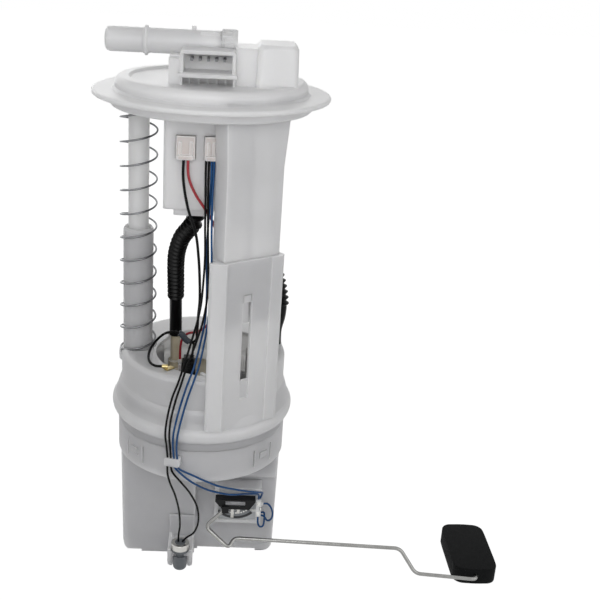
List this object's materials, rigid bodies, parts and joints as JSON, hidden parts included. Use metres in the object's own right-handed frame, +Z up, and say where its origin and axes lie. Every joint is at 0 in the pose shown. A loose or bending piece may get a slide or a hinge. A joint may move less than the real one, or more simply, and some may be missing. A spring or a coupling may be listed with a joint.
{
  "type": "fuel pump module",
  "caption": "In-tank fuel pump module with a round flange cover on a sprung guide, a reservoir with its pump and filter, and a swinging level float.",
  "frame": {"origin": "middle of the reservoir's round foot, on the plane that the foot stands on", "axes": "+Z up along the module's axis towards the cover, -X along the outlet pipe, -Y towards the level sender and the connector's mouth, +X along the float arm"},
  "size_m": [0.272, 0.14, 0.35],
  "materials": {
    "natural_acetal": "satin, slightly translucent",
    "white_acetal": "satin",
    "ivory_nylon": "satin",
    "black_nylon": "satin",
    "cream_acetal": "satin",
    "grey_nylon": "satin",
    "nitrile_foam": "fine matt grain",
    "black_hose": "smooth",
    "black_insulation": "smooth",
    "blue_insulation": "smooth",
    "red_insulation": "smooth",
    "spring_steel": "drawn wire",
    "zinc_wire": "zinc plated",
    "stainless_steel": "drawn",
    "nickel_silver": "stamped",
    "tin_brass": "stamped",
    "fluoro_rubber": "matt",
    "filter_paper": "pleated",
    "strainer_mesh": "woven",
    "ferrite": "sintered",
    "wound_copper": "laminated and wound",
    "shrink_sleeve": "shrunk tube",
    "ceramic_card": "fired"
  },
  "bodies": {
    "reservoir": {"return_spring": "spring_steel", "supply_hose": "black_hose", "return_hose": "black_hose", "reservoir_cup": "natural_acetal", "reservoir_lid": "natural_acetal", "umbrella_valve": "fluoro_rubber", "jet_pump": "natural_acetal", "inlet_strainer": "strainer_mesh", "pump_holder": "natural_acetal", "pump_isolator": "fluoro_rubber", "pump_shell": "stainless_steel", "pump_inlet_cap": "grey_nylon", "pump_outlet_cap": "cream_acetal", "pump_magnets": "ferrite", "pump_plug": "black_nylon", "feed_terminal": "ivory_nylon", "ground_tab": "tin_brass", "wire_clip": "white_acetal", "thermistor_bracket": "natural_acetal", "thermistor": "grey_nylon", "sender_bracket": "natural_acetal", "resistor_card": "ceramic_card", "sender_terminals": "white_acetal", "thermistor_leads": "black_insulation", "sender_leads": "blue_insulation", "pump_lead": "red_insulation", "pump_return_lead": "black_insulation", "thermistor_tails": "black_insulation", "sender_tails": "blue_insulation", "ground_lead": "black_insulation", "splice_sleeve": "shrink_sleeve", "sender_jumpers": "blue_insulation"},
    "cover": {"flange_cover": "natural_acetal", "pipe_end_cap": "natural_acetal", "terminal_pins": "tin_brass", "pressure_regulator": "stainless_steel", "regulator_o_ring": "fluoro_rubber", "regulator_clip": "stainless_steel", "filter_housing": "natural_acetal", "filter_element": "filter_paper", "power_plug": "ivory_nylon", "sender_plug": "ivory_nylon", "guide_leg": "natural_acetal", "guide_rod": "natural_acetal", "rod_stop_ring": "natural_acetal"},
    "rotor": {"pump_rotor": "wound_copper"},
    "sender": {"float_hub": "black_nylon", "wiper_contact": "nickel_silver", "float_arm": "zinc_wire", "level_float": "nitrile_foam"}
  },
  "joints": [
    {"name": "cover_slide", "type": "slide", "parent": "reservoir", "child": "cover", "axis": [0, 0, 1], "range_m": [-0.05, 0], "stiffness_N_per_m": 100, "springref_m": 0.06, "deforming": ["return_spring", "supply_hose", "return_hose", "thermistor_leads", "sender_leads", "pump_lead", "pump_return_lead"]},
    {"name": "float_swing", "type": "hinge", "parent": "reservoir", "child": "sender", "pos_m": [0.025, -0.024, 0.051], "axis": [0, -1, 0], "range_deg": [0, 55]},
    {"name": "rotor_spin", "type": "hinge", "parent": "reservoir", "child": "rotor", "pos_m": [-0.008, 0.016, 0.06], "axis": [0, 0, 1], "continuous": true}
  ]
}
